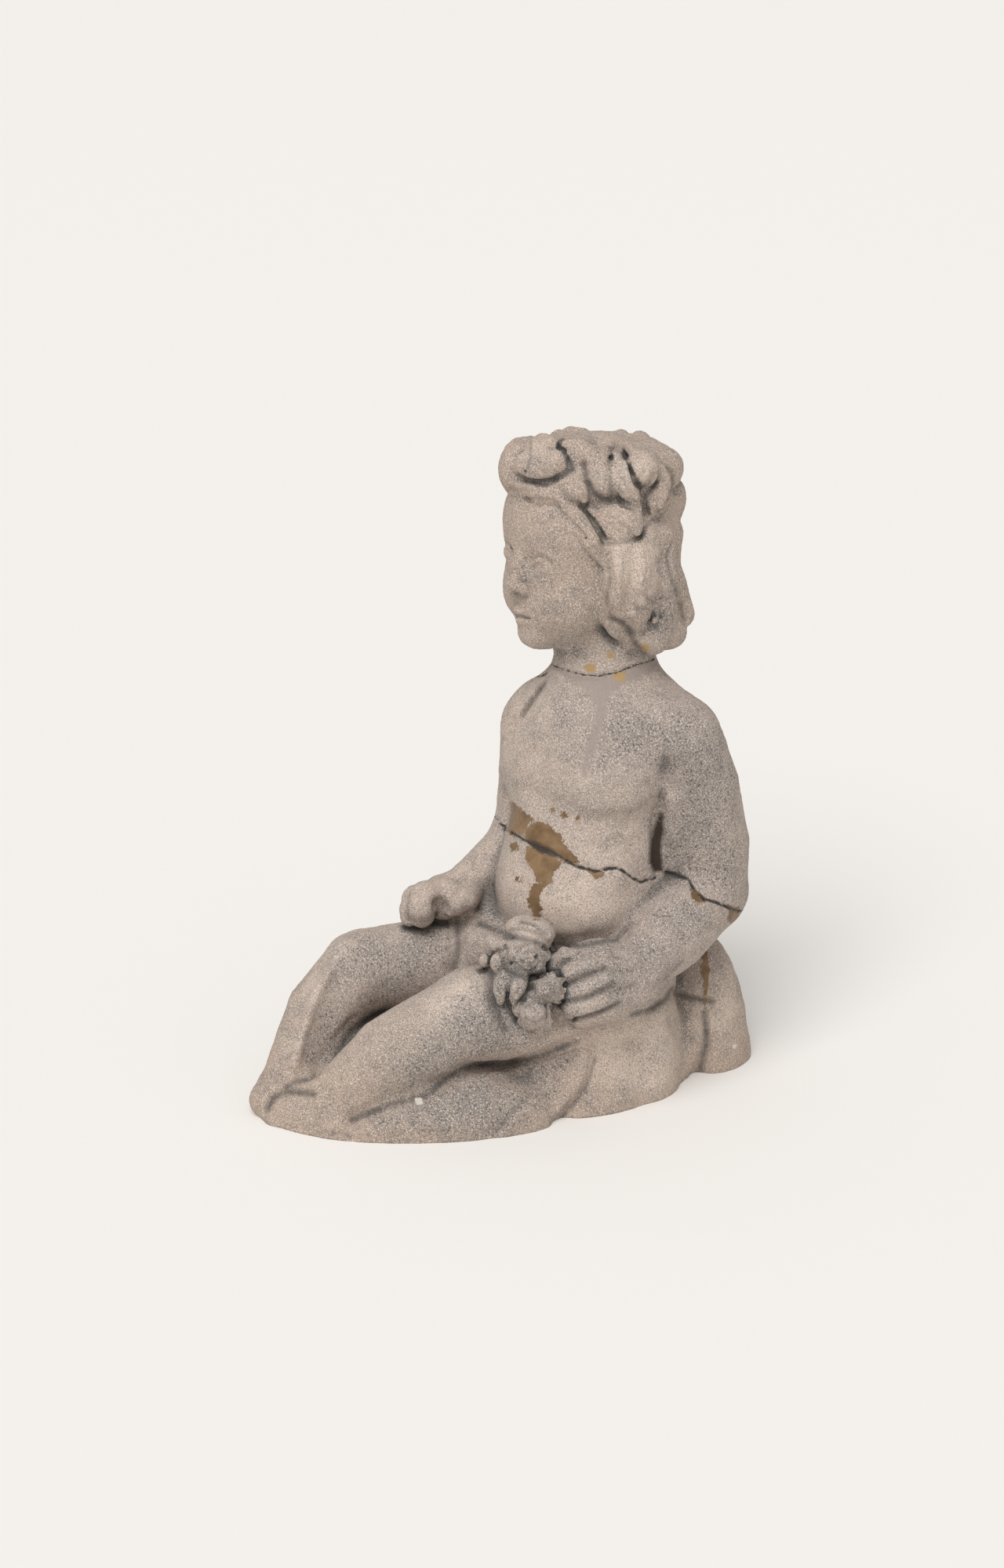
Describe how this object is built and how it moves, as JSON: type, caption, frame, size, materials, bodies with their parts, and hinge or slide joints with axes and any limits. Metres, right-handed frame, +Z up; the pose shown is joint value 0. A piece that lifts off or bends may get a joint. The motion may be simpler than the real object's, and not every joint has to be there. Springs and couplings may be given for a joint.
{
  "type": "seated stone child statue with flower wreath",
  "caption": "Cast stone statue of a seated child with a flower wreath and a posy, one piece with its rock base, broken and glued.",
  "frame": {"origin": "middle of the statue's bounding box at the flat underside of the rock", "axes": "+Z up; -Y is the front, where the knees and feet point and turn a little to the figure's right; +X is the figure's left, where the posy hand and the boulder are"},
  "size_m": [0.1803, 0.1933, 0.3051],
  "materials": {
    "stone": "worn, grainy grey-beige cast stone with dark soiling in the hollows"
  },
  "bodies": {
    "root": {"statue": "stone"}
  },
  "joints": []
}
